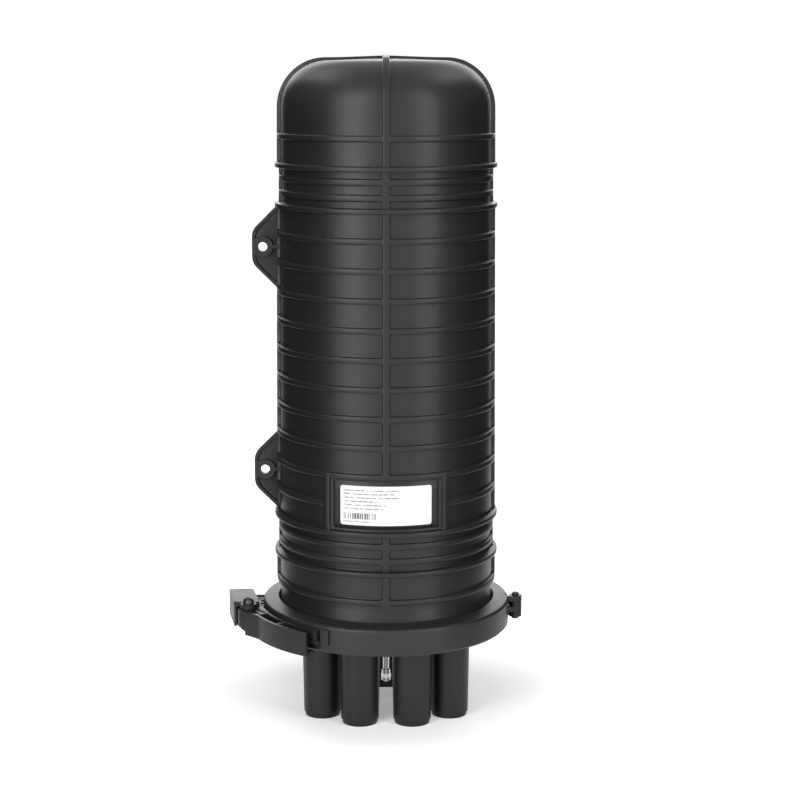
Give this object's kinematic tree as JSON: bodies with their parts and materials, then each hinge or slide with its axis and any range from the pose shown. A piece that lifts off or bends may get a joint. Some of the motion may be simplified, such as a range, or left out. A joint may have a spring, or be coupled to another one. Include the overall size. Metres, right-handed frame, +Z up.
{
  "type": "dome splice closure",
  "caption": "Ribbed dome closure for optical fibre splices, standing on its cable ports, with a hinged clamp ring and lever latch round the joint.",
  "frame": {"origin": "on the dome's axis, level with the ends of the cable ports", "axes": "+Z up along the dome's axis, +X towards the clamp's hinge, -Y towards the label"},
  "size_m": [0.2781, 0.231, 0.606],
  "materials": {
    "dome_plastic": "fine satin moulded polypropylene",
    "base_plastic": "satin moulded polypropylene",
    "clamp_plastic": "satin moulded glass-filled nylon",
    "label_film": "white printed polyester film",
    "seal_rubber": "moulded silicone rubber",
    "steel": "zinc-plated",
    "black_steel": "black-plated pan-head screw",
    "bright_steel": "bright nickel-plated",
    "tray_plastic": "light grey moulded ABS",
    "clear_plastic": "clear polycarbonate sheet",
    "strap_fabric": "hook-and-loop webbing"
  },
  "bodies": {
    "root": {"dome": "dome_plastic", "label": "label_film", "base": "base_plastic", "seal_ring": "seal_rubber", "clamp_rear": "clamp_plastic", "hinge_pin": "steel", "link_pin": "steel", "earth_stud": "bright_steel", "earth_cap_nut": "bright_steel", "earth_washer": "bright_steel", "earth_inner_nut": "bright_steel", "tray_bracket": "steel", "bracket_screws": "steel", "strength_clamps": "steel", "strength_screws": "steel", "storage_basket": "tray_plastic", "tray_carrier": "tray_plastic", "splice_tray_1": "tray_plastic", "splice_tray_2": "tray_plastic", "splice_tray_3": "tray_plastic", "splice_tray_4": "tray_plastic", "splice_tray_5": "tray_plastic", "splice_tray_6": "tray_plastic", "tray_cover": "clear_plastic", "tray_strap": "strap_fabric"},
    "clamp_front": {"clamp_front": "clamp_plastic"},
    "latch_link": {"latch_link": "clamp_plastic", "lever_screw": "black_steel", "lever_nut": "steel"},
    "latch_lever": {"latch_lever": "clamp_plastic"}
  },
  "joints": [
    {"name": "lever_swing", "type": "hinge", "parent": "latch_link", "child": "latch_lever", "pos_m": [-0.1278, -0.033, 0.09], "axis": [0, 0, -1], "range_deg": [0, 90]},
    {"name": "link_swing", "type": "hinge", "parent": "root", "child": "latch_link", "pos_m": [-0.137, 0.008, 0.09], "axis": [0, 0, -1], "range_deg": [0, 72]},
    {"name": "clamp_open", "type": "hinge", "parent": "root", "child": "clamp_front", "pos_m": [0.1225, 0, 0.09], "axis": [0, 0, 1], "range_deg": [0, 12.6]}
  ],
  "couplings": [
    {"joint": "link_swing", "follows": "lever_swing", "ratio": 0.8},
    {"joint": "clamp_open", "follows": "lever_swing", "ratio": 0.14}
  ]
}
